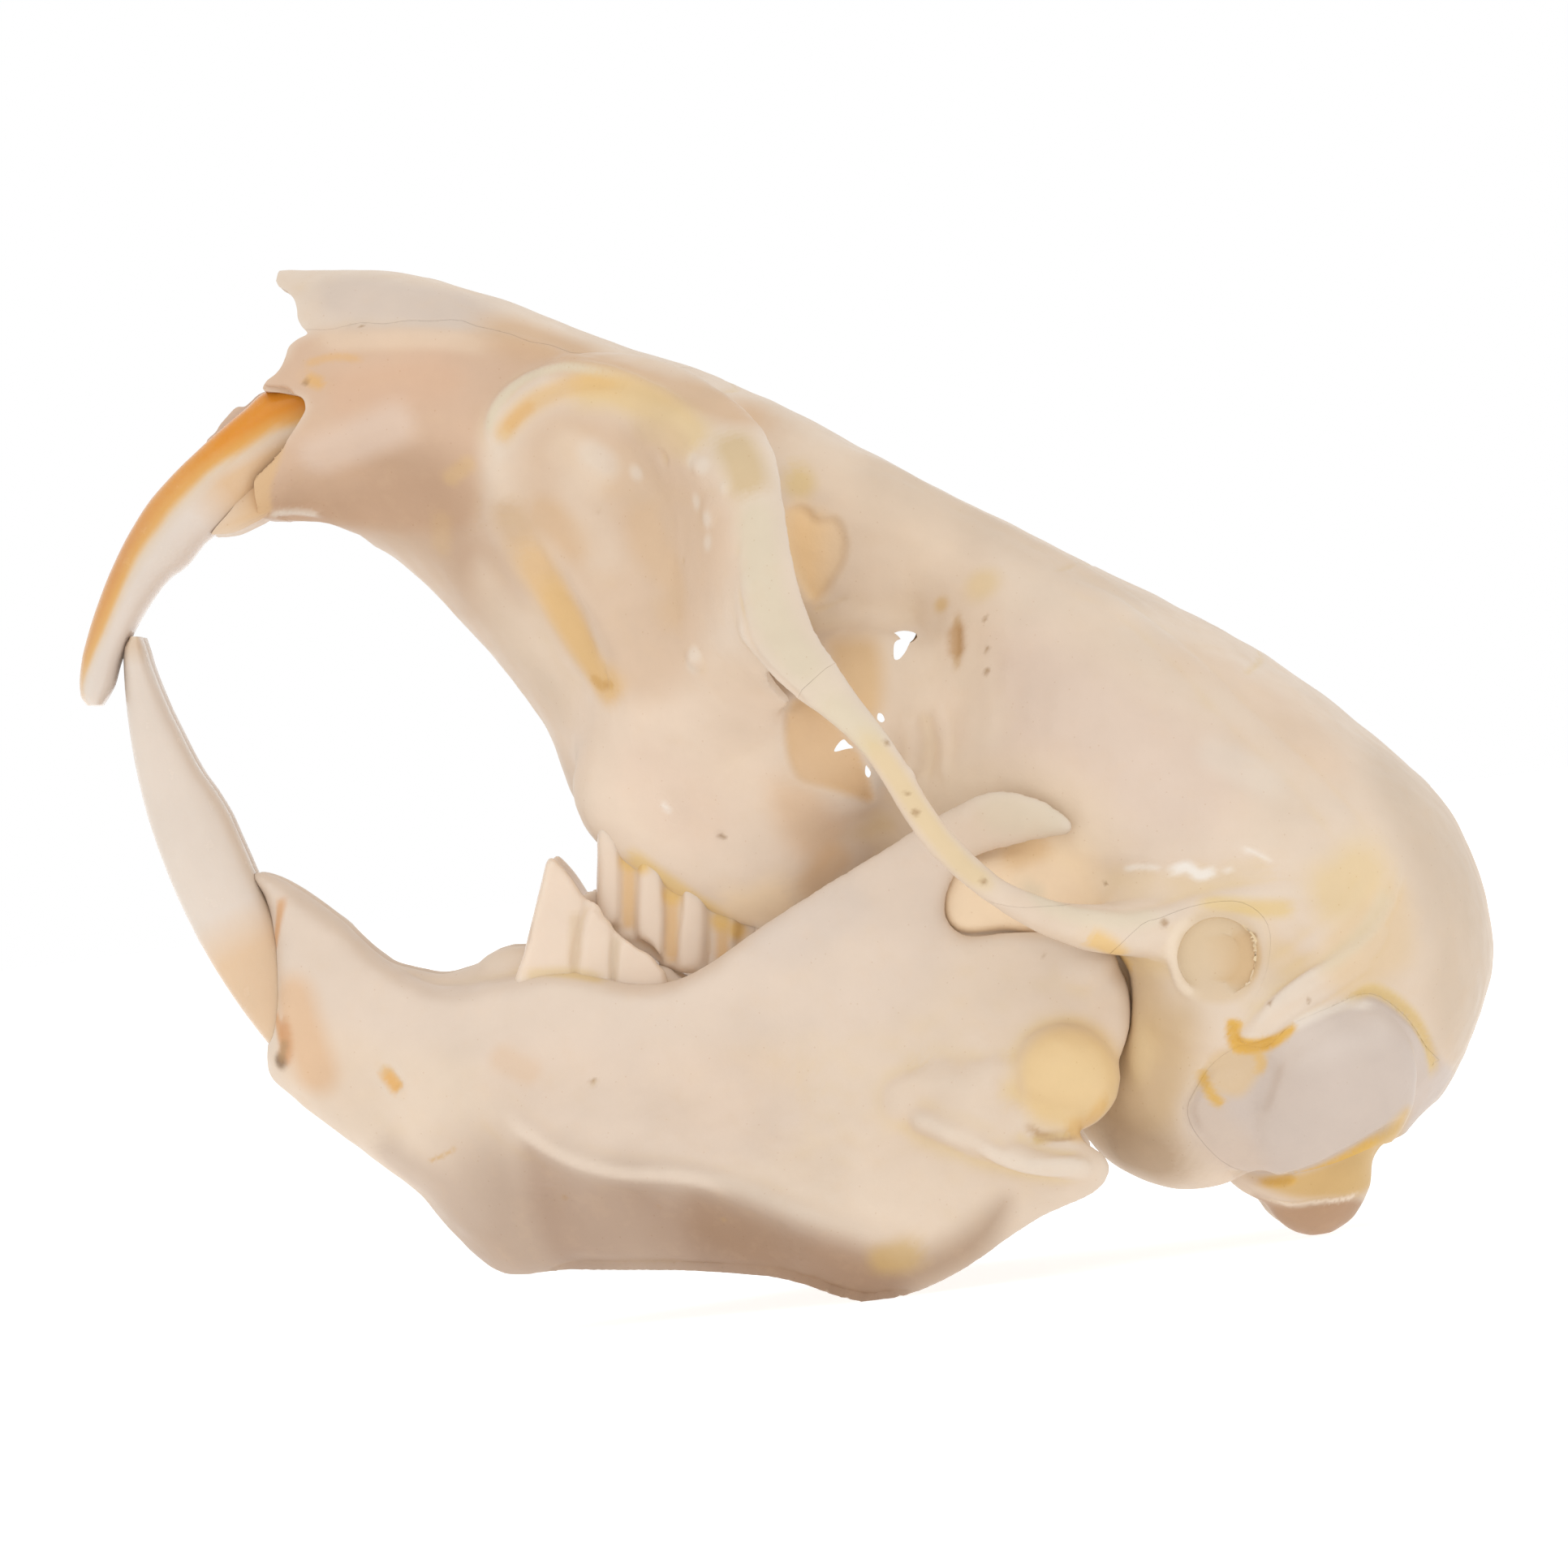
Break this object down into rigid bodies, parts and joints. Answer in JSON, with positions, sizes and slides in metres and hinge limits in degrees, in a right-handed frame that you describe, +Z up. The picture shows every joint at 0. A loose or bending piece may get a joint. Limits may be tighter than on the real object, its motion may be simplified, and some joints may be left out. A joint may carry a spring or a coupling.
{
  "type": "pocket gopher skull",
  "caption": "Life-size skull of a pocket gopher with the lower jaw in place, long curved incisors and slender cheek arches, as a still display model.",
  "frame": {"origin": "on the surface the skull lies on, under the middle of its bounding box", "axes": "+X from the snout to the back of the skull, +Y to the animal's right, +Z up; the skull lies tipped back on its jaw and occipital condyles"},
  "size_m": [0.0376, 0.0216, 0.0298],
  "materials": {
    "bone": "dry to slightly waxy cleaned bone, cream to peach, with darker hollows",
    "thin_bone": "thin translucent yellowish bone",
    "mastoid_bone": "chalky pale bone",
    "upper_enamel": "smooth orange enamel over white dentine",
    "lower_enamel": "smooth ivory enamel"
  },
  "bodies": {
    "root": {"rostrum": "bone", "nasal_bones": "bone", "braincase": "bone", "zygomatic_plate_left": "bone", "zygomatic_plate_right": "bone", "zygomatic_arch_left": "thin_bone", "zygomatic_arch_right": "thin_bone", "auditory_bulla_left": "bone", "auditory_bulla_right": "bone", "mastoid_left": "mastoid_bone", "mastoid_right": "mastoid_bone", "upper_incisor_left": "upper_enamel", "upper_incisor_right": "upper_enamel", "mandible_left": "bone", "mandible_right": "bone", "lower_incisor_left": "lower_enamel", "lower_incisor_right": "lower_enamel"}
  },
  "joints": []
}
